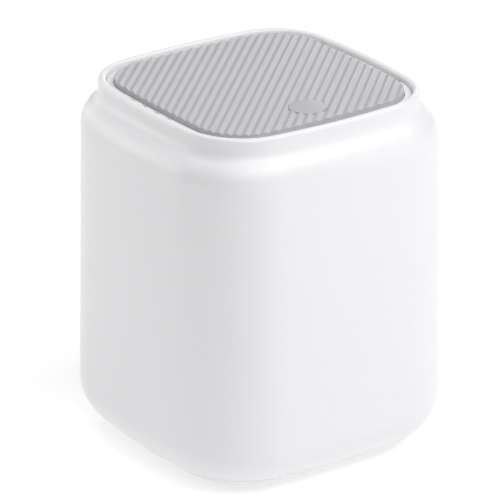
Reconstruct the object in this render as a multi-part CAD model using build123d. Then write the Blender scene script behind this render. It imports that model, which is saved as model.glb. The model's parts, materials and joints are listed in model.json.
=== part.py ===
from build123d import *
import os
from math import atan2, degrees, radians, sin, cos, sqrt, tan

# Compact desk router, millimetres, +Z up, origin on the table under the middle of the body.
# The front (-Y) carries the status window near the lid's front edge; every port is at the rear (+Y).

# ---- driving dimensions -------------------------------------------------------------------------
total_height = 105.0        # table to the lip and the lid, which are level
foot_proud = 0.8            # the body's underside above the table
half_side = 45.0            # centre to the middle of a side, at the base
corner_radius = 25.5        # plan radius of the body's corners
side_bow = 216.0            # plan radius of the slightly bowed sides
wall = 2.2                  # moulded wall of the casing
base_rounding = 14.0        # rounding between the underside and the walls
draft = 1.7                 # how far the walls lean in, from the base to the shoulder
shoulder_z = 95.8           # virtual corner where the shoulder starts
neck_z = 100.0              # virtual corner where the neck starts
neck_inset = 6.75           # neck's outer face, inside the base outline
shoulder_radius = 9.2
neck_radius = 4.9
lip_radius = 1.05
seam_z = 5.0                # parting line of shell and base cover
seam_gap = 0.06

lid_half = 33.1
lid_corner = 13.6
lid_bow = 420.0
lid_wall = 1.6
rim_slack = 0.2             # between the lid's skirt and the deck's raised rim
lid_plate = 2.4
lid_edge = 0.6              # rounding of the lid's edge
rib_pitch = 2.42
rib_depth = 0.5
rib_crest = 1.11            # crest of the rib next to the lid's middle, measured across the ribs
groove_width = 0.82         # the rest of the pitch is the rib's rounded back
window_radius = 5.3
window_y = -23.3

deck_z = 93.0               # underside of the deck that carries the lid
deck_thick = 2.0
deck_half = 36.0
gap_floor_z = 103.2         # top of the deck's raised rim, seen in the gap round the lid
ledge_thick = 2.0
ledge_inset = 11.5
post_at = 22.5              # frame posts, base screws, feet and deck screws share these places
post_radius = 3.5
screw_radius = 1.2
head_radius = 2.5
hole_slack = 0.05

board_front = 14.0          # main board stands upright across the body
board_back = 15.6
board_half_width = 32.5
board_z = (8.0, 84.0)
heatsink_face = 10.4        # flat side of the heatsink, towards the board
heatsink_z = (20.0, 74.0)

bay_width = 40.0            # rear port bay
bay_z = (15.0, 50.0)
bay_corner = 4.0
plate_y = (36.0, 38.0)
jack_y = 35.8               # front faces of the sockets, just behind the bay's plate
network_x = 8.6
network_z = 24.0
network_size = (16.0, 13.5)
upper_row_z = 42.0
power_x = 9.0
pair_x = -9.0
lead_radius = 0.6

top = total_height
floor = foot_proud
bay_mid = (bay_z[0] + bay_z[1]) / 2
bay_height = bay_z[1] - bay_z[0]
corners = [(x, y) for x in (-post_at, post_at) for y in (-post_at, post_at)]

os.makedirs("parts", exist_ok=True)


# ---- plain shapes -------------------------------------------------------------------------------
def block(x, y, z):
    # a box between two limits on each axis
    middle = Pos((x[0] + x[1]) / 2, (y[0] + y[1]) / 2, (z[0] + z[1]) / 2)
    return middle * Box(x[1] - x[0], y[1] - y[0], z[1] - z[0])


def chip(x, z, width, height, y):
    # a block on the upright board, centred at (x, z)
    return block((x - width / 2, x + width / 2), y, (z - height / 2, z + height / 2))


def upright(x, y, radius, z):
    return Pos(x, y, (z[0] + z[1]) / 2) * Cylinder(radius, z[1] - z[0])


def rod(x, z, radius, y):
    # a round bar along Y
    return Pos(x, (y[0] + y[1]) / 2, z) * Rot(90, 0, 0) * Cylinder(radius, y[1] - y[0])


def plate(x, z, width, height, corner, y):
    # a slab with rounded corners that faces the rear
    face = Plane(origin=(x, y[1], z), x_dir=(1, 0, 0), z_dir=(0, -1, 0)) * RectangleRounded(
        width, height, corner
    )
    return extrude(face, amount=y[1] - y[0])


def group(solids):
    return Compound(children=list(solids))


# ---- the bowed, rounded square that every casing piece follows ------------------------------------
def square_numbers(half, corner, bow):
    back = bow - half
    centre = (sqrt(back**2 - 2 * (back**2 - (bow - corner) ** 2)) - back) / 2
    spread = degrees(atan2(centre, centre + back))
    return back, centre, spread


def outline(half, corner, bow, inset=0.0):
    # flat face of the square, its edge moved in by the inset
    back, centre, spread = square_numbers(half, corner, bow)
    edges = []
    for quarter in range(4):
        side = CenterArc((-back, 0), bow - inset, -spread, 2 * spread)
        turn = CenterArc((centre, centre), corner - inset, spread, 90 - 2 * spread)
        edges += [Rot(0, 0, 90 * quarter) * side, Rot(0, 0, 90 * quarter) * turn]
    return make_face(edges)


def slab(half, corner, bow, inset, z):
    return extrude(Pos(0, 0, z[0]) * outline(half, corner, bow, inset), amount=z[1] - z[0])


def ring(section, half, corner, bow):
    # closed wall: the section, drawn in the XZ plane, is turned round each side and each corner
    back, centre, spread = square_numbers(half, corner, bow)
    side_axis = Axis((-back, 0, 0), (0, 0, 1))
    corner_axis = Axis((centre, centre, 0), (0, 0, 1))
    side = revolve(section.rotate(side_axis, -spread), side_axis, 2 * spread)
    start = Pos(centre, centre, 0) * Rot(0, 0, spread) * Pos(corner - half, 0, 0) * section
    turn = revolve(start, corner_axis, 90 - 2 * spread)
    pieces = []
    for quarter in range(4):
        pieces += [Rot(0, 0, 90 * quarter) * side, Rot(0, 0, 90 * quarter) * turn]
    return pieces[0].fuse(*pieces[1:])


def band(half, corner, bow, inset, z):
    # straight upright wall between two insets
    section = block((half - inset[1], half - inset[0]), (-1, 1), z)
    return ring(section.faces().sort_by(Axis.Y)[0].moved(Location((0, 1, 0))), half, corner, bow)


# ---- casing -------------------------------------------------------------------------------------
def inner_corner(before, corner, after):
    # the corner of a line moved inwards, to its left, by the wall thickness
    first = (Vector(*corner) - Vector(*before)).normalized()
    second = (Vector(*after) - Vector(*corner)).normalized()
    first_left = Vector(-first.Y, first.X)
    second_left = Vector(-second.Y, second.X)
    shift = (first_left + second_left) * (wall / (1 + first_left.dot(second_left)))
    moved = Vector(*corner) + shift
    return (moved.X, moved.Y)


def casing_section():
    under = half_side - base_rounding - wall
    neck = half_side - neck_inset
    foot = (half_side, floor)
    shoulder = (half_side - draft, shoulder_z)
    collar = (neck, neck_z)
    start, end = (under, floor), (neck, top)
    points = [
        start,
        foot,
        shoulder,
        collar,
        end,
        (neck - wall, top),
        inner_corner(shoulder, collar, end),
        inner_corner(foot, shoulder, collar),
        inner_corner(start, foot, shoulder),
        (under, floor + wall),
    ]
    radii = [
        base_rounding,
        shoulder_radius,
        neck_radius,
        lip_radius,
        lip_radius,
        neck_radius + wall,
        shoulder_radius - wall,
        base_rounding - wall,
    ]
    path = FilletPolyline(*points, radius=radii)
    return Plane.XZ * make_face([*path.edges(), Line(points[-1], points[0])])


def vent_slots():
    # air leaves through the ledge and the deck's raised rim, into the gap round the lid
    slot = block((33.6, 35.2), (-1.0, 1.0), (deck_z - 3, gap_floor_z + 1))
    row = [Pos(0, 6.0 * step, 0) * slot for step in range(-3, 4)]
    return [Rot(0, 0, 90 * quarter) * one for quarter in range(4) for one in row]


def bay_cutter(slack, y):
    return plate(0, bay_mid, bay_width - 2 * slack, bay_height - 2 * slack, bay_corner - slack, y)


def outer_shell(casing):
    shell = casing & block((-50, 50), (-50, 50), (seam_z + seam_gap / 2, top + 1))
    ledge = band(
        half_side, corner_radius, side_bow, (3.2, ledge_inset), (deck_z - ledge_thick, deck_z)
    )
    shell = shell.fuse(ledge).cut(*vent_slots())
    return shell - bay_cutter(0, (30, 50))


def base_cover(casing):
    cover = casing & block((-50, 50), (-50, 50), (0, seam_z - seam_gap / 2))
    inner = base_rounding + wall - 0.1
    cover += slab(half_side, corner_radius, side_bow, inner, (floor, floor + wall))
    cover += band(half_side, corner_radius, side_bow, (7.6, 8.9), (floor + wall - 0.5, 8.0))
    air = block((-0.9, 0.9), (15.5, 27.5), (0, 6))
    air_slots = [Pos(4.0 * step, 0, 0) * air for step in range(-3, 4)]
    cuts = [Rot(0, 0, 90 * quarter) * one for quarter in range(4) for one in air_slots]
    cuts.append(block((-12.2, 12.2), (-12.2, 12.2), (0, floor + 0.25)))
    for x, y in corners:
        cover += upright(x, y, 4.5, (floor + wall - 0.5, seam_z))
        cuts.append(upright(x, y, 5.0, (0, floor + 0.8)))
        cuts.append(upright(x, y, head_radius + 0.1, (0, seam_z - 1.4)))
        cuts.append(upright(x, y, screw_radius + 0.15, (0, seam_z + 1)))
    return cover.cut(*cuts)


def rubber_foot(x, y):
    foot = upright(x, y, 4.9, (0, floor + 0.8))
    return chamfer(foot.edges().group_by(Axis.Z)[0], 0.3)


def screw(length):
    # pan head with a cross recess, head up, its seat at z = 0
    head = fillet(upright(0, 0, head_radius, (0, 1.6)).edges().group_by(Axis.Z)[-1], 0.6)
    body = head + upright(0, 0, screw_radius, (-length, 0))
    for angle in (0, 90):
        body -= Rot(0, 0, angle) * block((-1.4, 1.4), (-0.25, 0.25), (0.7, 2.0))
    return body


def top_deck():
    deck = slab(
        half_side, corner_radius, side_bow, half_side - deck_half, (deck_z, deck_z + deck_thick)
    )
    rim_z = (deck_z + 1, gap_floor_z)
    rim = slab(half_side, corner_radius, side_bow, half_side - deck_half + 0.1, rim_z)
    hollow = (deck_z + deck_thick, gap_floor_z + 1)
    rim -= slab(lid_half + rim_slack, lid_corner + rim_slack, lid_bow, 0, hollow)
    deck += rim
    cuts = vent_slots()
    cuts.append(upright(0, window_y, 2.7, (deck_z - 2, deck_z + 3)))
    hook_slot = block((29.9, 32.8), (-4.3, 4.3), (deck_z - 1, deck_z + 3))
    cuts += [Rot(0, 0, 90 * quarter) * hook_slot for quarter in range(4)]
    cuts += [upright(x, y, screw_radius + 0.15, (deck_z - 1, deck_z + 3)) for x, y in corners]
    for side in (-1, 1):
        deck += upright(5.5 * side, window_y, 1.8, (deck_z - 1.4, deck_z + 0.5))
        rib = block((4 * side - 0.7, 4 * side + 0.7), (-14, 27), (deck_z - 1.5, deck_z + 0.5))
        deck += rib
    air = block((-1.0, 1.0), (-6, 6), (deck_z - 2, deck_z + 3))
    cuts += [Pos(4.0 * step, 0, 0) * air for step in (-4, -3, -2, 0, 2, 3, 4)]
    return deck.cut(*cuts)


# ---- lid ----------------------------------------------------------------------------------------
def rib_wave():
    # solid under a wavy top: broad crests and narrow grooves, along the diagonal of the lid
    count = 18
    crest_width = rib_pitch - groove_width
    turn_z = top - rib_depth * crest_width / rib_pitch
    first = rib_crest - crest_width / 2 - count * rib_pitch
    last = first + 2 * count * rib_pitch
    edges = []
    for step in range(2 * count):
        left = first + step * rib_pitch
        right = left + crest_width
        after = left + rib_pitch
        crest = ((left + right) / 2, top)
        groove = ((right + after) / 2, top - rib_depth)
        edges.append(ThreePointArc((left, turn_z), crest, (right, turn_z)))
        edges.append(ThreePointArc((right, turn_z), groove, (after, turn_z)))
    low = deck_z - 10
    edges.append(Polyline((last, turn_z), (last, low), (first, low), (first, turn_z)))
    face = Plane.XZ * make_face(edges)
    return Rot(0, 0, -45) * extrude(face, amount=60, both=True)


def lid_section():
    # the edge is drawn a touch high, so that the ribs alone form the top
    high = top + 0.1
    edge = lid_edge + 0.1
    outer, inner = lid_half, lid_half - lid_wall
    low = deck_z + deck_thick
    arc = CenterArc((outer - edge, high - edge), edge, 0, 90)
    rest = Polyline(
        (outer - edge, high),
        (outer - 4, high),
        (outer - 4, high - lid_plate),
        (inner, high - lid_plate),
        (inner, low),
        (outer, low),
        (outer, high - edge),
    )
    return Plane.XZ * make_face([arc, *rest.edges()])


def top_lid():
    lid = ring(lid_section(), lid_half, lid_corner, lid_bow)
    lid += slab(lid_half, lid_corner, lid_bow, 3.9, (top + 0.1 - lid_plate, top + 0.1))
    lid &= rib_wave()
    hook = block((30.2, 31.6), (-4, 4), (deck_z - 1.2, deck_z + deck_thick + 0.5))
    barb = block((31.0, 32.5), (-4, 4), (deck_z - 1.2, deck_z - 0.1))
    for quarter in range(4):
        lid += Rot(0, 0, 90 * quarter) * (hook + barb)
    return lid - upright(0, window_y, window_radius + 0.05, (90, top + 1))


def status_window():
    window = upright(0, window_y, window_radius, (top - 2.0, top))
    return fillet(window.edges().group_by(Axis.Z)[-1], 0.3)


def light_pipe():
    pipe = upright(0, window_y, 2.4, (deck_z + 0.4, top - 4.0))
    cone = Pos(0, window_y, top - 3.1) * Cone(2.4, 4.6, 1.8)
    return pipe + cone


# ---- frame --------------------------------------------------------------------------------------
def frame_ring(z):
    outer = slab(35.5, 16.0, side_bow, 0, z)
    return outer - slab(26.0, 12.0, side_bow, 0, (z[0] - 1, z[1] + 1))


def inner_frame():
    frame = frame_ring((seam_z, seam_z + 2)).fuse(frame_ring((deck_z - 5, deck_z - 3)))
    for x, y in corners:
        frame += upright(x, y, post_radius, (seam_z, deck_z))
    for side in (-1, 1):
        panel = Pos(34.0 * side, 0, 0) * block((-1, 1), (-20, 20), (seam_z, deck_z - 3))
        panel -= Pos(34.0 * side, 0, 0) * block((-2, 2), (9.0, 16.0), (78.5, 85.5))
        panel -= Pos(34.0 * side, 0, 0) * block((-2, 2), (-15.0, -4.5), (78.0, 86.0))
        for z in (26, 42):
            panel -= Pos(34.0 * side, 0, z) * block((-2, 2), (-14, 12), (-5, 5))
        frame += panel
        for z in board_screw_z:
            low, high = sorted((27.0 * side, 34.0 * side))
            frame += block((low, high), (board_back, board_back + 3), (z - 3, z + 3))
            frame -= rod(29.5 * side, z, screw_radius + hole_slack, (board_back - 1, 25))
    for x, y in corners:
        frame -= upright(x, y, screw_radius + hole_slack, (seam_z - 1, seam_z + 8))
        frame -= upright(x, y, screw_radius + hole_slack, (deck_z - 9, deck_z + 1))
    return frame


# ---- port bay -----------------------------------------------------------------------------------
def port_bezel():
    sleeve = bay_cutter(0.2, (plate_y[0], 46)) - bay_cutter(1.4, (plate_y[1], 47))
    sleeve &= band(half_side, corner_radius, side_bow, (2.0, 14), (10, 60))
    rim = bay_cutter(0.2, (plate_y[1], 46)) - bay_cutter(1.4, (plate_y[0], 47))
    rim &= leaning_band(0.5)
    flange = bay_cutter(-2.2, (39.6, 46)) - bay_cutter(1.0, (30, 47))
    flange &= leaning_band(wall + 0.3)
    bezel = sleeve + rim + flange
    for side in (-1, 1):
        bezel -= plate(side * network_x, network_z, 14.4, 12.0, 0.8, (30, 40))
    bezel -= rod(power_x, upper_row_z, 4.1, (30, 40))
    bezel -= rod(pair_x, upper_row_z, 3.6, (30, 40))
    bezel -= rod(0, upper_row_z, 0.8, (30, 40))
    return bezel


def leaning_band(inset):
    # wide band whose outer face leans with the casing's drafted wall
    lean = draft / (shoulder_z - floor)
    low, high = 10.0, 60.0
    face = half_side - inset
    section = Plane.XZ * make_face(
        Polyline(
            (face - lean * low, low),
            (face - lean * high, high),
            (half_side - 14, high),
            (half_side - 14, low),
            close=True,
        )
    )
    return ring(section, half_side, corner_radius, side_bow)


def network_jack(x):
    width, height = network_size[0] - 0.7, network_size[1] - 0.7
    jack = chip(x, network_z, width, height, (board_back, jack_y))
    jack -= chip(x, network_z + 0.9, 11.8, 8.2, (jack_y - 14.5, jack_y + 1))
    jack -= chip(x, network_z - 4.2, 6.2, 3.0, (jack_y - 14.5, jack_y + 1))
    return jack


def network_shield(x):
    width, height = network_size
    shield = chip(x, network_z, width, height, (board_back, jack_y))
    return shield - chip(x, network_z, width - 0.6, height - 0.6, (board_back - 1, jack_y + 1))


def network_contacts(x):
    # eight sprung wires that slope down from the front edge of the socket's roof
    roof = network_z + 5.0
    wires = []
    for step in range(8):
        at = x + 1.02 * (step - 3.5)
        path = Polyline(
            (roof - 0.05, jack_y - 1.5),
            (roof - 2.4, jack_y - 10.5),
            (roof - 2.75, jack_y - 10.4),
            (roof - 0.4, jack_y - 1.5),
            close=True,
        )
        profile = Plane(origin=(at - 0.2, 0, 0), x_dir=(0, 0, 1), z_dir=(1, 0, 0))
        flipped = [(point.X, -point.Y) for point in path.vertices()]
        face = profile * make_face(Polyline(*flipped, close=True))
        wires.append(extrude(face, amount=0.4))
    return group(wires)


def dc_jack():
    jack = chip(power_x, upper_row_z, 9.0, 11.0, (board_back, jack_y - 0.8))
    jack += rod(power_x, upper_row_z, 4.4, (jack_y - 1.0, jack_y))
    return jack - rod(power_x, upper_row_z, 2.9, (jack_y - 10, jack_y + 1))


def dc_pin():
    pin = rod(power_x, upper_row_z, 1.0, (jack_y - 10, jack_y - 1.2))
    return fillet(pin.edges().sort_by(Axis.Y)[-1], 0.6)


def pair_button():
    cap = rod(pair_x, upper_row_z, 3.52, (34.6, 38.4))
    cap = fillet(cap.edges().sort_by(Axis.Y)[-1], 0.5)
    cap += rod(pair_x, upper_row_z, 4.4, (34.6, 35.8))
    return cap + rod(pair_x, upper_row_z, 1.2, (20.05, 35.0))


def tact_switch(x):
    body = chip(x, upper_row_z, 6.0, 6.0, (board_back, 19.0))
    return body - rod(x, upper_row_z, 1.8, (17.6, 20))


def switch_plunger(x, end):
    return rod(x, upper_row_z, 1.72, (18.2, end))


# ---- electronics --------------------------------------------------------------------------------
board_screw_z = (12.0, 66.0)
sink_screw_z = (24.0, 70.0)
can_x, can_z = 12.0, 64.0
processor_z = 44.0


def main_board():
    board = chip(0, sum(board_z) / 2, 2 * board_half_width, board_z[1] - board_z[0],
                 (board_front, board_back))
    holes = []
    for side in (-1, 1):
        holes += [rod(29.5 * side, z, screw_radius + 0.1, (13, 17)) for z in board_screw_z]
        holes += [rod(24.0 * side, z, screw_radius + 0.1, (13, 17)) for z in sink_screw_z]
    return board.cut(*holes)


def radio_can(x):
    can = chip(x, can_z, 18, 16, (11.4, board_front))
    return can - chip(x, can_z, 17.6, 15.6, (11.6, board_front + 1))


def heatsink():
    low, high = heatsink_z
    sink = block((-28, 28), (heatsink_face - 3, heatsink_face), heatsink_z)
    fin = block((-0.7, 0.7), (-8, heatsink_face - 2.9), heatsink_z)
    count = 12
    pitch = (56 - 1.4) / (count - 1)
    sink = sink.fuse(*[Pos(pitch * (step - (count - 1) / 2), 0, 0) * fin for step in range(count)])
    for side in (-1, 1):
        for z in sink_screw_z:
            sink -= chip(24.0 * side, z, 9, 9, (-9, heatsink_face - 3))
            sink -= rod(24.0 * side, z, screw_radius + 0.15, (0, 12))
    return sink


def capacitor(x, z):
    body = rod(x, z, 3.15, (board_back + 0.8, board_back + 7.7))
    body = fillet(body.edges().sort_by(Axis.Y)[-1], 0.4)
    return body + chip(x, z, 6.6, 6.6, (board_back, board_back + 0.8))


# ---- antennas and their leads -------------------------------------------------------------------
antenna_y = 10.0
antenna_z = (34.0, 64.0)
antenna_face = 35.0


def antenna(side, y, height):
    low, high = antenna_z[1] - height, antenna_z[1]
    board = block((antenna_face, antenna_face + 0.8), (y - 7, y + 7), (low, high))
    feed = block((antenna_face + 0.8, antenna_face + 2.4), (y - 1.2, y + 1.2), (high - 5, high - 3))
    body = board + feed
    return body if side > 0 else mirror(body, Plane.YZ)


def tube(name, points, radius):
    # straight runs joined by tangent arcs, each arc as large as its two runs allow
    spots = [Vector(*point) for point in points]
    runs = [after - before for before, after in zip(spots, spots[1:])]
    radii = []
    for first, second in zip(runs, runs[1:]):
        turn = radians(first.get_angle(second))
        radii.append(0.45 * min(first.length, second.length) / tan(turn / 2))
    path = FilletPolyline(*points, radius=radii)
    start = Plane(origin=points[0], z_dir=runs[0])
    body = sweep(start * Circle(radius), path=path)
    expected = 3.14159265 * radius**2 * path.length
    bends = ", ".join(f"{bend:.1f}" for bend in radii)
    print(f"{name}: length {path.length:.1f}, radii {bends}, volume ratio {body.volume / expected:.4f}")
    return body


def rear_lead(side):
    route = [(27.6, 13.2, 82.0), (38.4, 12.6, 82.3), (38.2, 10.6, 71.5), (36.6, 10.0, 61.2)]
    return tube("rear antenna lead", [(side * x, y, z) for x, y, z in route], lead_radius)


def front_lead(side):
    route = [
        (20.6, 13.2, 77.5),
        (30.6, 12.6, 77.8),
        (30.0, 2.0, 79.6),
        (32.2, -7.4, 82.2),
        (39.0, -12.2, 81.4),
        (38.2, -10.8, 71.0),
        (36.6, -10.0, 61.2),
    ]
    return tube("front antenna lead", [(side * x, y, z) for x, y, z in route], lead_radius)


def antenna_plug(x, z):
    body = rod(x, z, 1.3, (12.6, board_front))
    return body + block((x, x + 2.6) if x > 0 else (x - 2.6, x), (12.5, 13.9), (z - 0.7, z + 0.7))


def led_cable():
    route = [
        (0, -17.9, 89.4),
        (1.0, -8.4, 89.0),
        (-0.8, 2.4, 89.2),
        (0.1, 12.3, 88.4),
        (0, 12.5, 80.6),
    ]
    return tube("status light cable", route, lead_radius)


# ---- write every piece --------------------------------------------------------------------------
def write(name, shape):
    export_step(shape, f"parts/{name}.step")


casing = ring(casing_section(), half_side, corner_radius, side_bow)
write("outer_shell", outer_shell(casing))
write("base_cover", base_cover(casing))
write("rubber_feet", group([rubber_foot(x, y) for x, y in corners]))
write("rating_label", block((-12, 12), (-12, 12), (floor + 0.05, floor + 0.25)))
base_screw = Rot(180, 0, 0) * screw(8.0)
write("base_screws", group([Pos(x, y, seam_z - 1.4) * base_screw for x, y in corners]))

write("top_deck", top_deck())
deck_top = deck_z + deck_thick
write("deck_screws", group([Pos(x, y, deck_top) * screw(9.0) for x, y in corners]))
write("top_lid", top_lid())
write("status_window", status_window())
write("light_pipe", light_pipe())
write("led_board", block((-8, 8), (-27.5, -18.5), (90.6, 91.6)))
write("status_led", block((-1.75, 1.75), (window_y - 1.4, window_y + 1.4), (91.6, 93.2)))
led_plug = block((-2, 2), (-21.5, -18.0), (88.2, 90.6))
board_plug = block((-2, 2), (11.0, board_front), (77.0, 80.5))
write("led_plugs", group([led_plug, board_plug]))
write("led_cable", led_cable())

write("inner_frame", inner_frame())
write("main_board", main_board())
board_screw = Rot(90, 0, 0) * screw(4.4)
sink_screw = Rot(90, 0, 0) * screw(9.8)
write("board_screws", group(
    [Pos(29.5 * side, board_front, z) * board_screw for side in (-1, 1) for z in board_screw_z]))
write("heatsink_screws", group(
    [Pos(24.0 * side, heatsink_face - 3, z) * sink_screw for side in (-1, 1) for z in sink_screw_z]))
nut = rod(0, 0, 2.3, (board_back, board_back + 1.8)) - rod(0, 0, screw_radius + hole_slack, (15, 18))
write("heatsink_nuts", group(
    [Pos(24.0 * side, 0, z) * nut for side in (-1, 1) for z in sink_screw_z]))
write("heatsink", heatsink())
write("processor", chip(0, processor_z, 19, 19, (12.4, board_front)))
write("memory_chip", chip(-17, processor_z, 9, 13, (12.9, board_front)))
write("flash_chip", chip(17, processor_z, 6, 8, (12.9, board_front)))
write("crystal", chip(0, 29.5, 3.2, 2.5, (13.2, board_front)))
write("radio_chips", group([chip(side * can_x, can_z, 9, 9, (13.1, board_front)) for side in (-1, 1)]))
write("radio_cans", group([radio_can(side * can_x) for side in (-1, 1)]))
pads = [chip(side * can_x, can_z, 14, 12, (heatsink_face, 11.4)) for side in (-1, 1)]
pads.append(chip(0, processor_z, 18, 18, (heatsink_face, 12.4)))
write("thermal_pads", group(pads))
write("lan_transformers", group(
    [chip(side * 24, 38, 9, 10, (board_back, 18.6)) for side in (-1, 1)]))
write("power_inductors", group([chip(22, z, 7, 7, (board_back, 18.6)) for z in (50, 58.6)]))
write("capacitors", group([capacitor(x, 58) for x in (-9, 0, 9)]))

for name, x in (("wan", -network_x), ("lan", network_x)):
    write(f"{name}_jack", network_jack(x))
    write(f"{name}_shield", network_shield(x))
    write(f"{name}_contacts", network_contacts(x))
write("port_bezel", port_bezel())
write("dc_jack", dc_jack())
write("dc_pin", dc_pin())
write("pair_button", pair_button())
write("pair_switch", tact_switch(pair_x))
write("pair_plunger", switch_plunger(pair_x, 20.0))
write("reset_switch", tact_switch(0))
write("reset_plunger", switch_plunger(0, 34.5))

for label, side in (("left", -1), ("right", 1)):
    write(f"antenna_{label}_rear", antenna(side, antenna_y, 26))
    write(f"antenna_{label}_front", antenna(side, -antenna_y, 18))
    write(f"lead_{label}_rear", rear_lead(side))
    write(f"lead_{label}_front", front_lead(side))
write("antenna_plugs", group([antenna_plug(side * x, z)
                              for side in (-1, 1) for x, z in ((25.0, 82.0), (18.0, 77.5))]))
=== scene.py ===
import json
from math import atan2, cos, pi, radians, sin, sqrt, tan

import bmesh
import bpy
from mathutils import Matrix, Vector


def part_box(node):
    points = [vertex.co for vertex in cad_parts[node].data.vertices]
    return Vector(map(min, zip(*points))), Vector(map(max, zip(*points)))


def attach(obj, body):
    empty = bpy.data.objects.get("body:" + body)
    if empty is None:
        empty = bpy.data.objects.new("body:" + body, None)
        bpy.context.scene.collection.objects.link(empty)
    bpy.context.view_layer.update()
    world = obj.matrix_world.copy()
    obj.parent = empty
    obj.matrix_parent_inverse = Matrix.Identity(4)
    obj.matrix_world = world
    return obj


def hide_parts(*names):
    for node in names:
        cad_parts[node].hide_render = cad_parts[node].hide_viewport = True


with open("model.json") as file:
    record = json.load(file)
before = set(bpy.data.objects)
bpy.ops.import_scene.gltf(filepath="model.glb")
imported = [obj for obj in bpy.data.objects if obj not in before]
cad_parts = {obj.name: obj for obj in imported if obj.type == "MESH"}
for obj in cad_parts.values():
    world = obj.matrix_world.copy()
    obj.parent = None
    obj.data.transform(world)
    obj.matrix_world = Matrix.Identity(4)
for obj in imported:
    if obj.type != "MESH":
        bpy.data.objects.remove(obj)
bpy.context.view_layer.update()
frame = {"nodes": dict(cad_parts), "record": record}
nodes = frame["nodes"]
mm = 0.001
print("frame loaded:", len(nodes), "nodes")


cameraView = dict(
    azimuth=-34.75,            # degrees, 0 looks along +Y
    elevation=22.96,
    distance=1127 * mm,
    target=(-1.97 * mm, 1.36 * mm, 54.35 * mm),
    lens=288.1,
    sensor=36.0,
)

floorPlan = dict(size=6.0, colour=(0.72, 0.72, 0.72), roughness=0.9, glow=0.44)

studio = dict(
    backdrop=1.0,              # how bright the room behind the object looks
    room=0.0,                  # how much light the room gives
    lamps=[
        # name, azimuth and elevation of its place, distance, side of the soft box, watts
        ("keyHigh", 10, 50, 1.2, 0.6, 4.5),
        ("frontHigh", -35, 50, 1.2, 0.6, 3.3),
        ("rightHigh", 55, 50, 1.2, 0.6, 5.0),
        ("rightLow", 45, 12, 1.2, 0.5, 1.5),
        ("rightRearLow", 130, 12, 1.2, 0.5, 1.8),
        ("backHigh", 180, 50, 1.2, 0.6, 2.2),
        ("backLow", -170, 12, 1.2, 0.5, 1.9),
        ("leftRearLow", -140, 12, 1.2, 0.5, 2.75),
        ("leftRearHigh", -120, 50, 1.2, 0.6, 1.6),
        ("topSoft", 0, 88, 1.2, 0.7, 2.9),
    ],
)


def direction(azimuth, elevation):
    # towards a place round the object, azimuth 0 being the front
    side, up = radians(azimuth), radians(elevation)
    return Vector((sin(side) * cos(up), -cos(side) * cos(up), sin(up)))


def placeCamera(view):
    data = bpy.data.cameras.new("camera")
    data.lens = view["lens"]
    data.sensor_width = view["sensor"]
    camera = bpy.data.objects.new("camera", data)
    target = Vector(view["target"])
    away = direction(view["azimuth"], view["elevation"])
    camera.location = target + away * view["distance"]
    camera.rotation_euler = (-away).to_track_quat("-Z", "Y").to_euler()
    bpy.context.scene.collection.objects.link(camera)
    bpy.context.scene.camera = camera


def placeLamp(name, azimuth, elevation, distance, side, watts):
    data = bpy.data.lights.new(name, "AREA")
    data.shape = "SQUARE"
    data.size = side
    data.energy = watts
    lamp = bpy.data.objects.new(name, data)
    away = direction(azimuth, elevation)
    lamp.location = Vector(cameraView["target"]) + away * distance
    lamp.rotation_euler = (-away).to_track_quat("-Z", "Y").to_euler()
    bpy.context.scene.collection.objects.link(lamp)


def lightRoom(room):
    world = bpy.data.worlds.new("room")
    bpy.context.scene.world = world
    world.use_nodes = True
    tree = world.node_tree
    tree.nodes.clear()
    seen = tree.nodes.new("ShaderNodeBackground")
    seen.inputs["Strength"].default_value = room["backdrop"]
    seen.inputs["Color"].default_value = (1, 1, 1, 1)
    given = tree.nodes.new("ShaderNodeBackground")
    given.inputs["Strength"].default_value = room["room"]
    given.inputs["Color"].default_value = (1, 1, 1, 1)
    path = tree.nodes.new("ShaderNodeLightPath")
    mix = tree.nodes.new("ShaderNodeMixShader")
    out = tree.nodes.new("ShaderNodeOutputWorld")
    tree.links.new(path.outputs["Is Camera Ray"], mix.inputs[0])
    tree.links.new(given.outputs[0], mix.inputs[1])
    tree.links.new(seen.outputs[0], mix.inputs[2])
    tree.links.new(mix.outputs[0], out.inputs[0])
    for lamp in room["lamps"]:
        placeLamp(*lamp)


placeCamera(cameraView)
lightRoom(studio)
bpy.context.scene.view_settings.view_transform = "Standard"
print("camera and lamps placed")


class Wire:
    # one shader socket; arithmetic on it adds Math nodes
    def __init__(self, finish, socket):
        self.finish = finish
        self.socket = socket

    def maths(self, operation, *others):
        return self.finish.node("Math", {"operation": operation}, dict(enumerate((self, *others))))

    def __add__(self, other):
        return self.maths("ADD", other)

    def __radd__(self, other):
        return self.maths("ADD", other)

    def __sub__(self, other):
        return self.maths("SUBTRACT", other)

    def __rsub__(self, other):
        return self.maths("MULTIPLY", -1.0).maths("ADD", other)

    def __mul__(self, other):
        return self.maths("MULTIPLY", other)

    def __rmul__(self, other):
        return self.maths("MULTIPLY", other)

    def __truediv__(self, other):
        return self.maths("DIVIDE", other)

    def __rtruediv__(self, other):
        return self.maths("POWER", -1.0).maths("MULTIPLY", other)

    def __gt__(self, other):
        return self.maths("GREATER_THAN", other)

    def __lt__(self, other):
        return self.maths("LESS_THAN", other)

    def size(self):
        return self.maths("ABSOLUTE")


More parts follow.
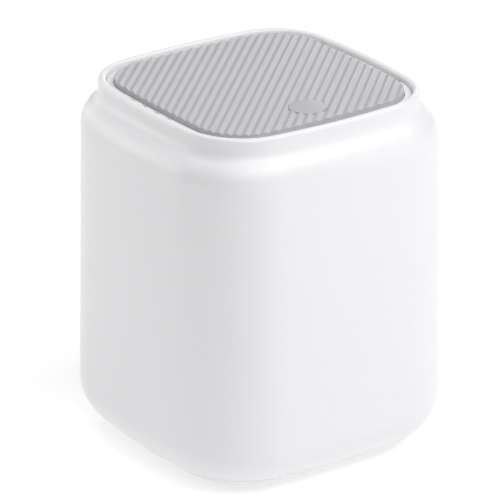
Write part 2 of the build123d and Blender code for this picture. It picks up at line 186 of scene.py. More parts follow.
class Finish:
    # a material, and the nodes it is made of
    def __init__(self, name):
        self.material = bpy.data.materials.new(name)
        self.material.use_nodes = True
        self.tree = self.material.node_tree
        self.tree.nodes.clear()
        self.bumps = None

    def node(self, kind, settings=None, inputs=None, output=0):
        made = self.tree.nodes.new("ShaderNode" + kind)
        for key, value in (settings or {}).items():
            if key == "stops":
                self.setStops(made.color_ramp, value)
            else:
                setattr(made, key, value)
        for key, value in (inputs or {}).items():
            if isinstance(value, Wire):
                self.tree.links.new(value.socket, made.inputs[key])
            else:
                made.inputs[key].default_value = value
        return Wire(self, made.outputs[output])

    def setStops(self, ramp, stops):
        while len(ramp.elements) < len(stops):
            ramp.elements.new(0.5)
        for element, (place, level) in zip(ramp.elements, stops):
            element.position = place
            element.color = (level, level, level, 1)

    def place(self, scale=(1, 1, 1)):
        spot = self.node("TexCoord", output="Object")
        return self.node("Mapping", None, {"Vector": spot, "Scale": scale})

    def axis(self, letter):
        return self.node("SeparateXYZ", None, {0: self.place()}, output=letter)

    def noise(self, size, detail=2.0, rough=0.5, stretch=(1, 1, 1)):
        # soft mottling whose spots are about the given size in metres
        return self.node(
            "TexNoise",
            None,
            {"Vector": self.place(stretch), "Scale": 1 / size, "Detail": detail, "Roughness": rough},
        )

    def cells(self, size, output="Distance"):
        return self.node(
            "TexVoronoi", None, {"Vector": self.place(), "Scale": 1 / size}, output=output
        )

    def ramp(self, value, stops):
        return self.node("ValToRGB", {"stops": stops}, {0: value})

    def mix(self, amount, first, second):
        # the first colour where the amount is 0, the second where it is 1
        return self.node(
            "Mix",
            {"data_type": "RGBA"},
            {0: amount, 6: self.colour(first), 7: self.colour(second)},
            output=2,
        )

    def colour(self, value):
        return value if isinstance(value, Wire) else (*value, 1.0)

    def bump(self, height, depth, strength=1.0):
        inputs = {"Height": height, "Distance": depth, "Strength": strength}
        if self.bumps:
            inputs["Normal"] = self.bumps
        self.bumps = self.node("Bump", None, inputs)

    def done(self, colour, roughness, metallic=0.0, **fixed):
        shader = self.tree.nodes.new("ShaderNodeBsdfPrincipled")
        values = {"Base Color": self.colour(colour), "Roughness": roughness, "Metallic": metallic}
        for key, value in {**values, **fixed}.items():
            name = key.replace("_", " ")
            if isinstance(value, Wire):
                self.tree.links.new(value.socket, shader.inputs[name])
            else:
                shader.inputs[name].default_value = value
        if self.bumps:
            self.tree.links.new(self.bumps.socket, shader.inputs["Normal"])
        out = self.tree.nodes.new("ShaderNodeOutputMaterial")
        self.tree.links.new(shader.outputs[0], out.inputs["Surface"])
        return self.material


def shade(colour, factor):
    return tuple(min(1.0, part * factor) for part in colour)


casingLook = dict(colour=(0.803, 0.795, 0.812), roughness=0.36, grain=0.35 * mm, depth=0.006 * mm)
lidLook = dict(colour=(0.475, 0.477, 0.490), roughness=0.45, grain=0.3 * mm, depth=0.006 * mm)
discLook = dict(colour=(0.464, 0.468, 0.49), roughness=0.40, grain=0.25 * mm, depth=0.003 * mm)
bezelLook = dict(colour=(0.30, 0.305, 0.32), roughness=0.55, grain=0.35 * mm, depth=0.02 * mm)


def mouldedPlastic(name, look, mottle=0.02, **fixed):
    # injection-moulded plastic: fine spark-eroded grain, faint flow mottling, uneven sheen
    finish = Finish(name)
    flow = finish.noise(18 * mm, detail=3)
    grain = finish.noise(look["grain"], detail=2, rough=0.6)
    pits = finish.cells(look["grain"] * 1.6)
    colour = finish.mix(flow, shade(look["colour"], 1 - mottle), shade(look["colour"], 1 + mottle))
    colour = finish.mix(grain * 0.08, colour, shade(look["colour"], 0.75))
    finish.bump(grain + pits * 0.5, look["depth"])
    roughness = look["roughness"] + (flow - 0.5) * 0.08 + (grain - 0.5) * 0.10
    return finish.done(colour, roughness, **fixed)


def softRubber(name, colour):
    finish = Finish(name)
    grain = finish.noise(0.25 * mm, detail=4, rough=0.7)
    dust = finish.noise(3 * mm, detail=5)
    finish.bump(grain, 0.02 * mm)
    mixed = finish.mix(finish.ramp(dust, [(0.45, 0.0), (0.75, 0.35)]), colour, shade(colour, 1.6))
    return finish.done(mixed, 0.82 + (grain - 0.5) * 0.15)


def platedSteel(name, colour, brushed=(1, 1, 12)):
    # rolled or turned metal with a thin bright plating and handling marks
    finish = Finish(name)
    lines = finish.noise(0.5 * mm, detail=3, stretch=brushed)
    cloud = finish.noise(4 * mm, detail=4)
    mixed = finish.mix(cloud, shade(colour, 0.86), shade(colour, 1.08))
    finish.bump(lines, 0.004 * mm)
    return finish.done(mixed, 0.26 + lines * 0.16 + cloud * 0.08, 1.0)


def extrudedAluminium(name, colour):
    finish = Finish(name)
    draw = finish.noise(0.6 * mm, detail=3, stretch=(1, 1, 0.02))
    cloud = finish.noise(9 * mm, detail=3)
    mixed = finish.mix(draw * 0.6 + cloud * 0.4, shade(colour, 0.84), shade(colour, 1.06))
    finish.bump(draw, 0.01 * mm)
    return finish.done(mixed, 0.36 + draw * 0.2, 1.0)


def goldPlate(name, colour):
    finish = Finish(name)
    wear = finish.noise(0.7 * mm, detail=4)
    mixed = finish.mix(wear, shade(colour, 0.85), shade(colour, 1.1))
    finish.bump(wear, 0.002 * mm)
    return finish.done(mixed, 0.2 + wear * 0.15, 1.0)


boardLook = dict(
    colour=(0.02, 0.10, 0.055),
    pad=(0.62, 0.60, 0.52),    # tinned copper of the vias
    zone=5 * mm,               # how far tracks run before they turn
    trackPitch=0.8 * mm,
    trackShare=0.35,           # the higher, the thinner the tracks
    viaSpacing=2.1 * mm,
    viaRadius=0.09,            # as a share of the spacing
)


def circuitBoard(name, look):
    # solder mask over copper tracks and vias
    finish = Finish(name)
    across = finish.axis("X").size()
    up = finish.axis("Z")
    zones = finish.cells(look["zone"], output="Color")
    zone = finish.node("SeparateXYZ", None, {0: zones}, output="X")
    along = (across * (zone > 0.5)) + (up * (zone < 0.5)) + finish.axis("Y") * 0.2
    wave = (along * (2 * pi / look["trackPitch"])).maths("SINE")
    track = wave > look["trackShare"]
    vias = finish.cells(look["viaSpacing"]) < look["viaRadius"]
    mask = finish.mix(track, look["colour"], shade(look["colour"], 1.7))
    mixed = finish.mix(vias, mask, look["pad"])
    finish.bump(track * 0.6 + vias, 0.03 * mm)
    return finish.done(mixed, 0.34 + track * 0.05, vias * 0.9, Coat_Weight=0.3)


def mouldedChip(name, colour):
    finish = Finish(name)
    grain = finish.noise(0.12 * mm, detail=4, rough=0.7)
    cloud = finish.noise(2.5 * mm, detail=2)
    mixed = finish.mix(grain * 0.6 + cloud * 0.4, shade(colour, 0.7), shade(colour, 1.7))
    finish.bump(grain, 0.012 * mm)
    return finish.done(mixed, 0.5 + (grain - 0.5) * 0.2)


def siliconePad(name, colour):
    finish = Finish(name)
    weave = finish.cells(0.5 * mm)
    mixed = finish.mix(weave, shade(colour, 0.9), shade(colour, 1.15))
    finish.bump(weave, 0.03 * mm)
    return finish.done(mixed, 0.65 + weave * 0.1)


def cableJacket(name, colour):
    finish = Finish(name)
    rings = finish.noise(0.3 * mm, detail=3)
    mixed = finish.mix(rings, shade(colour, 0.7), shade(colour, 1.6))
    finish.bump(rings, 0.01 * mm)
    return finish.done(mixed, 0.42 + rings * 0.12)


def clearPlastic(name):
    finish = Finish(name)
    flow = finish.noise(2 * mm, detail=2)
    mixed = finish.mix(flow, (0.86, 0.88, 0.90), (0.93, 0.94, 0.95))
    finish.bump(flow, 0.003 * mm)
    return finish.done(mixed, 0.08 + flow * 0.05, Transmission_Weight=0.85, IOR=1.49)


labelBorder = dict(outer=1.6 * mm, inner=1.3 * mm, ink=(0.35, 0.36, 0.38))


def labelFilm(name, colour):
    # blank film with a fine border line, no lettering
    finish = Finish(name)
    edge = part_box("rating_label")[1].x
    reach = finish.axis("X").size().maths("MAXIMUM", finish.axis("Y").size())
    border = (reach > edge - labelBorder["outer"]) * (reach < edge - labelBorder["inner"])
    fibre = finish.noise(0.4 * mm, detail=3)
    paper = finish.mix(fibre, shade(colour, 0.96), shade(colour, 1.04))
    mixed = finish.mix(border, paper, labelBorder["ink"])
    finish.bump(fibre, 0.004 * mm)
    return finish.done(mixed, 0.38 + fibre * 0.1)


finishes = {
    "casing_white": mouldedPlastic("casingWhite", casingLook, mottle=0.008),
    "lid_grey": mouldedPlastic("lidGrey", lidLook),
    "window_grey": mouldedPlastic("windowGrey", discLook),
    "bezel_grey": mouldedPlastic("bezelGrey", bezelLook),
    "frame_grey": mouldedPlastic("frameGrey", {**bezelLook, "colour": (0.16, 0.16, 0.18)}),
    "button_white": mouldedPlastic("buttonWhite", casingLook),
    "plug_ivory": mouldedPlastic("plugIvory", {**bezelLook, "colour": (0.80, 0.76, 0.62)}),
    "socket_black": mouldedPlastic("socketBlack", {**bezelLook, "colour": (0.035, 0.035, 0.04)}, 0.1),
    "plunger_black": mouldedPlastic("plungerBlack", {**bezelLook, "colour": (0.05, 0.05, 0.055)}, 0.1),
    "cap_sleeve": mouldedPlastic("capSleeve", {**discLook, "colour": (0.05, 0.07, 0.13)}, 0.1),
    "led_white": mouldedPlastic("ledResin", {**discLook, "colour": (0.90, 0.86, 0.70)}),
    "foot_rubber": softRubber("footRubber", (0.20, 0.205, 0.21)),
    "label_paper": labelFilm("labelFilm", (0.80, 0.80, 0.79)),
    "steel_screw": platedSteel("zincSteel", (0.62, 0.62, 0.63)),
    "can_metal": platedSteel("tinPlate", (0.72, 0.72, 0.71)),
    "gold_contact": goldPlate("goldContact", (0.90, 0.68, 0.32)),
    "clear_plastic": clearPlastic("clearPipe"),
    "board_green": circuitBoard("circuitGreen", boardLook),
    "chip_black": mouldedChip("chipBlack", (0.03, 0.03, 0.033)),
    "sink_aluminium": extrudedAluminium("sinkAluminium", (0.74, 0.75, 0.76)),
    "pad_blue": siliconePad("padBlue", (0.26, 0.40, 0.58)),
    "cable_black": cableJacket("cableJacket", (0.035, 0.035, 0.038)),
}
slotOf = {part["node"]: part["material_slot"] for part in frame["record"]["subparts"]}
bodyOf = {
    node: body
    for body, members in frame["record"]["behaviour"]["bodies"].items()
    for node in members
}
for name, node in nodes.items():
    node.data.materials.clear()
    node.data.materials.append(finishes[slotOf[name]])
print("finishes made:", len(finishes))


def roundedPath(corners, radii, steps=8):
    # a line through the corners, each turned into an arc of its own radius
    spots = [Vector(corner) for corner in corners]
    path = [spots[0]]
    for before, corner, after, radius in zip(spots, spots[1:], spots[2:], radii):
        inward = (corner - before).normalized()
        outward = (after - corner).normalized()
        turn = atan2(inward.cross(outward), inward.dot(outward))
        if radius == 0:
            path.append(corner)
            continue
        start = corner - inward * (radius * tan(abs(turn) / 2))
        left = Vector((-inward.y, inward.x)) * (1 if turn > 0 else -1)
        centre = start + left * radius
        for step in range(steps + 1):
            arm = Matrix.Rotation(turn * step / steps, 2) @ (start - centre)
            path.append(centre + arm)
    path.append(spots[-1])
    return path


def planNumbers(plan):
    # a rounded square with bowed sides: where the arcs' centres lie, and how far a side reaches
    back = plan["bow"] - plan["half"]
    reach = plan["bow"] - plan["corner"]
    centre = (sqrt(back**2 - 2 * (back**2 - reach**2)) - back) / 2
    return back, centre, atan2(centre, centre + back)


def turnedWall(path, plan, closed=False, sideSteps=10, cornerSteps=16):
    # the section is turned round the four sides and the four corners in one go
    back, centre, spread = planNumbers(plan)
    work = bmesh.new()
    points = [work.verts.new((spot.x, 0, spot.y)) for spot in path]
    lines = [work.edges.new(pair) for pair in zip(points, points[1:])]
    if closed:
        lines.append(work.edges.new((points[-1], points[0])))
    start = Vector((-back, 0, 0))
    bmesh.ops.rotate(work, verts=points, cent=start, matrix=Matrix.Rotation(-spread, 3, "Z"))
    section = points + lines
    for quarter in range(4):
        turn = Matrix.Rotation(quarter * pi / 2, 3, "Z")
        for middle, sweep, steps in (
            (start, 2 * spread, sideSteps),
            (Vector((centre, centre, 0)), pi / 2 - 2 * spread, cornerSteps),
        ):
            spun = bmesh.ops.spin(
                work, geom=section, cent=turn @ middle, axis=(0, 0, 1), angle=sweep, steps=steps,
                use_duplicate=False,
            )
            section = spun["geom_last"]
    bmesh.ops.remove_doubles(work, verts=work.verts, dist=0.002 * mm)
    return work


def turnedRound(path, centre, steps=64, axis=(0, 0, 1)):
    # a round piece: the path is (radius, distance along the axis)
    work = bmesh.new()
    along = Vector(axis)
    across = Vector((1, 0, 0))
    points = [work.verts.new(across * spot[0] + along * spot[1]) for spot in path]
    lines = [work.edges.new(pair) for pair in zip(points, points[1:])]
    bmesh.ops.spin(
        work, geom=points + lines, cent=(0, 0, 0), axis=along, angle=2 * pi, steps=steps,
        use_merge=True, use_duplicate=False,
    )
    bmesh.ops.remove_doubles(work, verts=work.verts, dist=0.002 * mm)
    bmesh.ops.translate(work, verts=work.verts, vec=centre)
    return work


def capHoles(work):
    rims = [edge for edge in work.edges if edge.is_boundary]
    bmesh.ops.holes_fill(work, edges=rims, sides=0)


def roundedPrism(width, height, corner, length, centre, facing="Z", steps=8):
    # a slab with rounded corners, its section facing Z or Y
    work = bmesh.new()
    reachX, reachY = width / 2 - corner, height / 2 - corner
    spots = []
    for quarter, (sideX, sideY) in enumerate(((1, 1), (-1, 1), (-1, -1), (1, -1))):
        for step in range(steps + 1):
            angle = (quarter + step / steps) * pi / 2
            spots.append(
                (sideX * reachX + corner * cos(angle), sideY * reachY + corner * sin(angle), 0)
            )
    base = work.faces.new([work.verts.new(spot) for spot in spots])
    raised = bmesh.ops.extrude_face_region(work, geom=[base])["geom"]
    top = [item for item in raised if isinstance(item, bmesh.types.BMVert)]
    bmesh.ops.translate(work, verts=top, vec=(0, 0, length))
    bmesh.ops.translate(work, verts=work.verts, vec=(0, 0, -length / 2))
    if facing == "Y":
        turn = Matrix.Rotation(pi / 2, 3, "X")
        bmesh.ops.rotate(work, verts=work.verts, cent=(0, 0, 0), matrix=turn)
    bmesh.ops.translate(work, verts=work.verts, vec=centre)
    bmesh.ops.remove_doubles(work, verts=work.verts, dist=0.002 * mm)
    bmesh.ops.recalc_face_normals(work, faces=work.faces)
    return work


def addInto(whole, part):
    # moves one bmesh into another
    mesh = bpy.data.meshes.new("part")
    part.to_mesh(mesh)
    part.free()
    whole.from_mesh(mesh)
    bpy.data.meshes.remove(mesh)


def toObject(work, name, angle=35):
    # the bmesh becomes an object, smooth except where it folds sharply
    bmesh.ops.recalc_face_normals(work, faces=work.faces)
    for face in work.faces:
        face.smooth = True
    mesh = bpy.data.meshes.new(name)
    work.to_mesh(mesh)
    work.free()
    mesh.set_sharp_from_angle(angle=radians(angle))
    piece = bpy.data.objects.new(name, mesh)
    bpy.context.scene.collection.objects.link(piece)
    return piece


def carve(piece, tools, operation="DIFFERENCE"):
    # boolean with throw-away tools, applied at once
    bpy.context.view_layer.update()
    for tool in tools:
        cut = piece.modifiers.new("cut", "BOOLEAN")
        cut.operation = operation
        cut.solver = "EXACT"
        cut.object = tool
        graph = bpy.context.evaluated_depsgraph_get()
        mesh = bpy.data.meshes.new_from_object(piece.evaluated_get(graph))
        piece.modifiers.clear()
        old = piece.data
        piece.data = mesh
        bpy.data.meshes.remove(old)
        bpy.data.objects.remove(tool)
    work = bmesh.new()
    work.from_mesh(piece.data)
    bmesh.ops.remove_doubles(work, verts=work.verts, dist=0.003 * mm)
    bmesh.ops.dissolve_degenerate(work, edges=work.edges, dist=0.002 * mm)
    work.to_mesh(piece.data)
    work.free()


def settle(piece, node, angle=35, extra=()):
    # the finished piece stands for its node: same body, same slot, same finish
    piece.data.name = piece.name
    for polygon in piece.data.polygons:
        polygon.use_smooth = True
    piece.data.set_sharp_from_angle(angle=radians(angle))
    piece.data.materials.clear()
    piece.data.materials.append(finishes[slotOf[node]])
    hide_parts(node, *extra)
    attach(piece, bodyOf[node])


def softCopy(node, name, width, segments=2, fold=30):
    # the node's own shape with its edges rounded over
    work = bmesh.new()
    work.from_mesh(nodes[node].data)
    bmesh.ops.remove_doubles(work, verts=work.verts, dist=0.002 * mm)
    bmesh.ops.dissolve_limit(
        work, angle_limit=radians(0.5), verts=work.verts, edges=work.edges, use_dissolve_boundaries=False
    )
    folds = [
        edge for edge in work.edges
        if edge.is_manifold and edge.calc_face_angle(0) > radians(fold)
    ]
    bmesh.ops.bevel(
        work, geom=folds, offset=width, offset_type="OFFSET", segments=segments, profile=0.5,
        affect="EDGES", clamp_overlap=True, material=-1,
    )
    settle(toObject(work, name), node)


casing = dict(
    plan=dict(half=45 * mm, corner=25.5 * mm, bow=216 * mm),
    wall=2.2 * mm,
    baseRounding=14 * mm,
    draft=1.7 * mm,
    shoulderHeight=95.8 * mm,  # where the wall's line and the shoulder's line meet
    neckHeight=100.0 * mm,
    neckInset=6.75 * mm,
    shoulderRadius=9.2 * mm,
    neckRadius=4.9 * mm,
    lipRadius=1.05 * mm,
    ledgeDepth=2.0 * mm,
    ledgeInset=11.5 * mm,
    ledgeRise=1.5 * mm,        # ledge's top above the lowest point of the deck
    ledgeFoot=(4.6 * mm, 4.9 * mm, 1.2 * mm),  # two insets and the height of the step at its root
    edgeSoftness=0.12 * mm,
    seamReach=39 * mm,         # the seam's outer edge lies further out than this
    sideSteps=14,
    cornerSteps=22,
    arcSteps=12,
)


def casingPath(part):
    # outside from the flat underside up to the lip, then back down the inside
    half, wall = part["plan"]["half"], part["wall"]
    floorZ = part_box("base_cover")[0].z
    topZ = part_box("outer_shell")[1].z
    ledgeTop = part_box("top_deck")[0].z + part["ledgeRise"]
    rootOut, rootIn, rootRise = part["ledgeFoot"]
    neck = half - part["neckInset"]
    under = half - part["baseRounding"] - wall
    start, foot = Vector((under, floorZ)), Vector((half, floorZ))
    shoulder = Vector((half - part["draft"], part["shoulderHeight"]))
    collar, end = Vector((neck, part["neckHeight"])), Vector((neck, topZ))

    def moveIn(before, corner, after):
        first, second = (corner - before).normalized(), (after - corner).normalized()
        firstLeft, secondLeft = Vector((-first.y, first.x)), Vector((-second.y, second.x))
        return corner + (firstLeft + secondLeft) * (wall / (1 + firstLeft.dot(secondLeft)))

    innerShoulder = moveIn(foot, shoulder, collar)
    innerFoot = moveIn(start, foot, shoulder)
    ledge = half - part["ledgeInset"]
    lean = (innerShoulder - innerFoot) / (innerShoulder.y - innerFoot.y)
    ledgeLow = innerFoot + lean * (ledgeTop - part["ledgeDepth"] - innerFoot.y)
    outer, inner = part["shoulderRadius"], part["neckRadius"] + wall
    corners = [
        start, foot, shoulder, collar, end, Vector((neck - wall, topZ)),
        moveIn(shoulder, collar, end), Vector((half - rootOut, ledgeTop + rootRise)),
        Vector((half - rootIn, ledgeTop)), Vector((ledge, ledgeTop)),
        Vector((ledge, ledgeTop - part["ledgeDepth"])), ledgeLow, innerFoot,
        Vector((under, floorZ + wall)),
    ]
    radii = [
        part["baseRounding"], outer, part["neckRadius"], part["lipRadius"], part["lipRadius"],
        inner, 0, 0, 0, 0, 0, part["baseRounding"] - wall,
    ]
    return roundedPath(corners, radii, steps=part["arcSteps"])


def casingWall():
    return turnedWall(
        casingPath(casing), casing["plan"], sideSteps=casing["sideSteps"],
        cornerSteps=casing["cornerSteps"],
    )


def liesAt(edge, height):
    return all(abs(vert.co.z - height) < 0.01 * mm for vert in edge.verts)


def cutAtSeam(work, height, keepAbove):
    # keeps the wall on one side of the seam and closes the cut
    everything = work.verts[:] + work.edges[:] + work.faces[:]
    bmesh.ops.bisect_plane(
        work, geom=everything, dist=0.001 * mm, plane_co=(0, 0, height), plane_no=(0, 0, 1),
        clear_inner=keepAbove, clear_outer=not keepAbove,
    )
    rims = [edge for edge in work.edges if edge.is_boundary and liesAt(edge, height)]
    bmesh.ops.bridge_loops(work, edges=rims)


def softenRim(work, height, softness, outside):
    # the outer edge of the seam gets a small radius, so that the joint reads as a fine line
    rim = [
        edge for edge in work.edges
        if liesAt(edge, height)
        and all(vert.co.xy.length > outside for vert in edge.verts)
        and edge.calc_face_angle(0) > radians(20)
    ]
    bmesh.ops.bevel(
        work, geom=rim, offset=softness, offset_type="OFFSET", segments=3, profile=0.5,
        affect="EDGES", clamp_overlap=True, material=-1,
    )


window = dict(flange=2.2 * mm, corner=4 * mm, cutLength=20 * mm)


def portWindow(part):
    # the opening in the rear wall; the bezel's flange reaches past it all round, behind the wall
    low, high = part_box("port_bezel")
    width, height = high.x - low.x - 2 * part["flange"], high.z - low.z - 2 * part["flange"]
    centre = Vector(((low.x + high.x) / 2, high.y, (low.z + high.z) / 2))
    cutter = roundedPrism(width, height, part["corner"], part["cutLength"], centre, facing="Y")
    return toObject(cutter, "windowTool")


vents = dict(
    size=(1.9 * mm, 2.0 * mm, 6.0 * mm),
    middle=(34.25 * mm, 92 * mm),  # distance from the object's axis, and height
    pitch=6 * mm,
    eachWay=3,
)


def gapVents(part):
    # the ledge is open under the deck's slots
    distance, height = part["middle"]
    tools = bmesh.new()
    for quarter in range(4):
        for step in range(-part["eachWay"], part["eachWay"] + 1):
            made = bmesh.ops.create_cube(tools, size=1.0)["verts"]
            bmesh.ops.scale(tools, verts=made, vec=part["size"])
            bmesh.ops.translate(tools, verts=made, vec=(distance, part["pitch"] * step, height))
            turn = Matrix.Rotation(quarter * pi / 2, 3, "Z")
            bmesh.ops.rotate(tools, verts=made, cent=(0, 0, 0), matrix=turn)
    return toObject(tools, "ventTool")


def makeShell(part):
    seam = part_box("outer_shell")[0].z
    work = casingWall()
    cutAtSeam(work, seam, keepAbove=True)
    softenRim(work, seam, part["edgeSoftness"], part["seamReach"])
    shell = toObject(work, "casingShell")
    carve(shell, [portWindow(window), gapVents(vents)])
    settle(shell, "outer_shell", angle=32)


baseCover = dict(
    footRadius=4.9 * mm,
    labelSlack=0.4 * mm,
    cutLength=12 * mm,
    seamRise=4.17 * mm,        # parting line above the underside
    footRecess=5.0 * mm,
    footDepth=0.8 * mm,
    labelCorner=1.5 * mm,
    labelRecess=0.25 * mm,
    slotWidth=1.8 * mm,
    slotLength=12.0 * mm,
    slotPitch=4.0 * mm,
    slotDistance=21.5 * mm,
    slotsPerSide=7,
)


def baseTools(part):
    low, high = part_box("rubber_feet")
    place = (high.x - low.x) / 2 - part["footRadius"]
    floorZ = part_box("base_cover")[0].z
    tools = []
    for sideX in (-1, 1):
        for sideY in (-1, 1):
            path = [(0, -mm), (part["footRecess"], -mm), (part["footRecess"], part["footDepth"]),
                    (0, part["footDepth"])]
            round_ = turnedRound(path, (sideX * place, sideY * place, floorZ), steps=48)
            tools.append(toObject(round_, "recessTool"))
    labelLow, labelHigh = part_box("rating_label")
    side = labelHigh.x - labelLow.x + part["labelSlack"]
    centre = (0, 0, floorZ + part["labelRecess"] - 2 * mm)
    tools.append(toObject(roundedPrism(side, side, part["labelCorner"], 4 * mm, centre), "labelTool"))
    slots = bmesh.new()
    middle = (part["slotsPerSide"] - 1) / 2
    for quarter in range(4):
        for step in range(part["slotsPerSide"]):
            slot = roundedPrism(
                part["slotWidth"], part["slotLength"], part["slotWidth"] / 2 - 0.01 * mm,
                part["cutLength"],
                ((step - middle) * part["slotPitch"], part["slotDistance"], floorZ), steps=6,
            )
            turn = Matrix.Rotation(quarter * pi / 2, 3, "Z")
            bmesh.ops.rotate(slot, verts=slot.verts, cent=(0, 0, 0), matrix=turn)
            addInto(slots, slot)
    tools.append(toObject(slots, "slotTool"))
    return tools


def makeBase(part):
    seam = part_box("base_cover")[0].z + part["seamRise"]
    work = casingWall()
    cutAtSeam(work, seam, keepAbove=False)
    softenRim(work, seam, casing["edgeSoftness"], casing["seamReach"])
    capHoles(work)
    cover = toObject(work, "baseCover")
    carve(cover, baseTools(part))
    settle(cover, "base_cover", angle=32)


makeShell(casing)
makeBase(baseCover)
print("casing made")


lid = dict(
    plan=dict(half=33.1 * mm, corner=13.6 * mm, bow=420 * mm),
    wall=1.6 * mm,
    plate=2.4 * mm,
    brim=4 * mm,               # breadth of the turned rim that the flat plate fills
    standing=0.1 * mm,         # the blank stands this far above the ribs' crests
    edge=0.6 * mm,
    ribPitch=2.42 * mm,
    ribDepth=0.5 * mm,
    ribCrest=1.03 * mm,        # crest of the rib next to the middle, across the ribs
    grooveWidth=1.1 * mm,
    ribSteps=12,
    ribReach=18,               # pitches to each side of the middle
    ribTurn=-45,               # degrees
    blockLength=120 * mm,
    blockDepth=20 * mm,
)


def lidForm(part):
    half = part["plan"]["half"]
    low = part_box("deck_screws")[1].z - 1.6 * mm
    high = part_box("top_lid")[1].z + part["standing"]
    inner = half - part["wall"]
    corners = [
        (half - part["brim"], high), (half, high), (half, low), (inner, low),
        (inner, high - part["plate"]), (half - part["brim"], high - part["plate"]),
    ]
    path = roundedPath(corners, [part["edge"], 0, 0, 0], steps=8)
    work = turnedWall(path, part["plan"], sideSteps=24, cornerSteps=24)
    capHoles(work)
    return toObject(work, "lidTop")


def ribHeight(part, across):
    # how far the ribbed surface lies below its crests: a broad arc up, then a narrow arc down
    pitch, groove = part["ribPitch"], part["grooveWidth"]
    crest = pitch - groove
    across = (across + crest / 2) % pitch
    turn = part["ribDepth"] * crest / pitch
    if across < crest:
        return turn * (2 * across / crest - 1) ** 2
    return part["ribDepth"] - (part["ribDepth"] - turn) * (2 * (across - crest) / groove - 1) ** 2


def ribbedBlock(part):
    # solid with a wavy top, its ribs along the lid's diagonal
    work = bmesh.new()
    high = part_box("top_lid")[1].z
    reach = part["ribReach"] * part["ribSteps"]
    spots = []
    for step in range(-reach, reach + 1):
        across = step * part["ribPitch"] / part["ribSteps"]
        spots.append((across + part["ribCrest"], 0, high - ribHeight(part, across)))
    low = high - part["blockDepth"]
    spots += [(spots[-1][0], 0, low), (spots[0][0], 0, low)]
    face = work.faces.new([work.verts.new(spot) for spot in spots])
    raised = bmesh.ops.extrude_face_region(work, geom=[face])["geom"]
    far = [item for item in raised if isinstance(item, bmesh.types.BMVert)]
    bmesh.ops.translate(work, verts=far, vec=(0, part["blockLength"], 0))
    bmesh.ops.translate(work, verts=work.verts, vec=(0, -part["blockLength"] / 2, 0))
    turn = Matrix.Rotation(radians(part["ribTurn"]), 3, "Z")
    bmesh.ops.rotate(work, verts=work.verts, cent=(0, 0, 0), matrix=turn)
    return toObject(work, "ribTool")


def discHole():
    low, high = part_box("status_window")
    centre = ((low.x + high.x) / 2, (low.y + high.y) / 2, high.z - 5 * mm)
    radius = (high.x - low.x) / 2 + 0.06 * mm
    path = [(0, 0), (radius, 0), (radius, 8 * mm), (0, 8 * mm)]
    return toObject(turnedRound(path, centre, steps=72), "discTool")


def makeLid(part):
    top = lidForm(part)
    carve(top, [ribbedBlock(part)], "INTERSECT")
    carve(top, [discHole()])
    settle(top, "top_lid", angle=28)


disc = dict(edge=0.3 * mm, thick=2.0 * mm)


def makeDisc(part):
    low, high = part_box("status_window")
    radius = (high.x - low.x) / 2
    corners = [(0, 0), (radius, 0), (radius, part["thick"]), (0, part["thick"])]
    path = roundedPath(corners, [0, part["edge"]], steps=5)
    centre = ((low.x + high.x) / 2, (low.y + high.y) / 2, low.z)
    work = turnedRound([(spot[0], spot[1]) for spot in path], centre, steps=72)
    settle(toObject(work, "statusDisc"), "status_window")


makeLid(lid)
makeDisc(disc)
print("lid made")


pairButton = dict(
    capRadius=3.52 * mm,
    capEdge=0.5 * mm,
    dish=0.28 * mm,            # how far the cap's middle is hollowed for the fingertip
    flangeRadius=4.4 * mm,
    flangeThick=1.2 * mm,
    capLength=3.8 * mm,
    stemRadius=1.2 * mm,
    steps=64,
)


def makeButton(part):
    low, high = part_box("pair_button")
    cap, face = part["capRadius"], high.y
    seat = face - part["capLength"]
    corners = [
        (0, low.y), (part["stemRadius"], low.y), (part["stemRadius"], seat),
        (part["flangeRadius"], seat), (part["flangeRadius"], seat + part["flangeThick"]),
        (cap, seat + part["flangeThick"]), (cap, face), (cap * 0.74, face),
        (cap * 0.45, face - part["dish"] * 0.8), (0, face - part["dish"]),
    ]
    radii = [0.25 * mm, 0.15 * mm, 0.25 * mm, 0.25 * mm, 0.1 * mm, part["capEdge"], 2 * mm, 4 * mm]
    path = roundedPath(corners, radii, steps=6)
    centre = ((low.x + high.x) / 2, 0, (low.z + high.z) / 2)
    work = turnedRound(path, centre, part["steps"], axis=(0, 1, 0))
    settle(toObject(work, "pairButtonCap"), "pair_button")


rubberFeet = dict(
    radius=4.9 * mm,
    edge=0.35 * mm,
    rings=((3.75 * mm, 3.25 * mm), (2.35 * mm, 1.85 * mm)),
    ringDepth=0.3 * mm,
    dimple=0.9 * mm,
    steps=48,
)


def makeFeet(part):
    # four round pads with two moulded rings and a small gate mark
    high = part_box("rubber_feet")[1]
    place = high.x - part["radius"]
    corners = [(0, high.z), (part["radius"], high.z), (part["radius"], 0)]
    radii = [0.15 * mm, part["edge"]]
    for outer, inner in part["rings"]:
        corners += [(outer, 0), (outer, part["ringDepth"]), (inner, part["ringDepth"]), (inner, 0)]
        radii += [0.08 * mm] * 4
    corners += [(part["dimple"], 0), (0, 0.15 * mm)]
    radii += [0.4 * mm]
    path = roundedPath(corners, radii, steps=4)
    feet = bmesh.new()
    for sideX in (-1, 1):
        for sideY in (-1, 1):
            one = turnedRound(path, (sideX * place, sideY * place, 0), part["steps"])
            addInto(feet, one)
    settle(toObject(feet, "rubberFeet"), "rubber_feet")


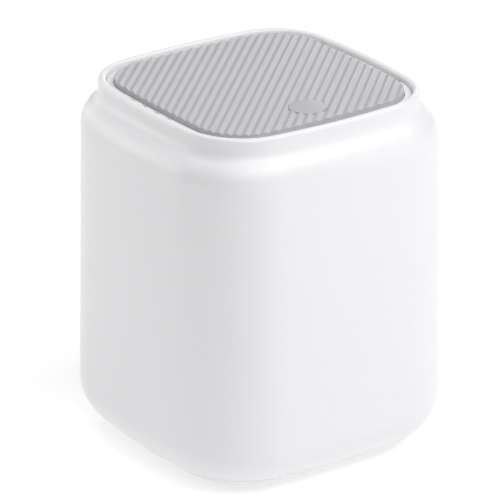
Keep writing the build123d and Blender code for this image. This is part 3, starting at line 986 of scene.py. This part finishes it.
ratingLabel = dict(corner=1.2 * mm, edge=0.04 * mm)


def makeLabel(part):
    low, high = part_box("rating_label")
    centre = (low + high) / 2
    size = high - low
    work = roundedPrism(size.x, size.y, part["corner"], size.z, centre, steps=10)
    rims = [edge for edge in work.edges if edge.calc_face_angle(0) > radians(60)]
    bmesh.ops.bevel(
        work, geom=rims, offset=part["edge"], offset_type="OFFSET", segments=2, profile=0.5,
        affect="EDGES", clamp_overlap=True, material=-1,
    )
    settle(toObject(work, "ratingLabel"), "rating_label")


# pieces that keep their own shape and get rounded edges: name and radius
softened = dict(
    port_bezel=("portBezel", 0.18 * mm),
    wan_jack=("wanJack", 0.15 * mm),
    lan_jack=("lanJack", 0.15 * mm),
    wan_shield=("wanShield", 0.07 * mm),
    lan_shield=("lanShield", 0.07 * mm),
    dc_jack=("powerInlet", 0.15 * mm),
    heatsink=("heatsinkFins", 0.15 * mm),
    main_board=("mainBoard", 0.10 * mm),
    led_board=("ledBoard", 0.08 * mm),
    processor=("processorCase", 0.12 * mm),
    memory_chip=("memoryCase", 0.10 * mm),
    flash_chip=("flashCase", 0.10 * mm),
    radio_chips=("radioCases", 0.10 * mm),
    radio_cans=("radioCans", 0.08 * mm),
    lan_transformers=("lanTransformers", 0.25 * mm),
    power_inductors=("powerInductors", 0.40 * mm),
    thermal_pads=("thermalPads", 0.12 * mm),
    led_plugs=("ledPlugs", 0.12 * mm),
)

makeButton(pairButton)
makeFeet(rubberFeet)
makeLabel(ratingLabel)
for node, (name, width) in softened.items():
    softCopy(node, name, width)
print("ports, feet and boards made")


def makeFloor(plan):
    work = bmesh.new()
    bmesh.ops.create_grid(work, x_segments=1, y_segments=1, size=plan["size"] / 2)
    floor = toObject(work, "floor")
    finish = Finish("floorPaint")
    cloud = finish.noise(0.2, detail=3)
    colour = finish.mix(cloud, shade(plan["colour"], 0.995), plan["colour"])
    floor.data.materials.append(finish.done(
        colour, plan["roughness"], Emission_Color=(1, 1, 1, 1), Emission_Strength=plan["glow"]
    ))


makeFloor(floorPlan)
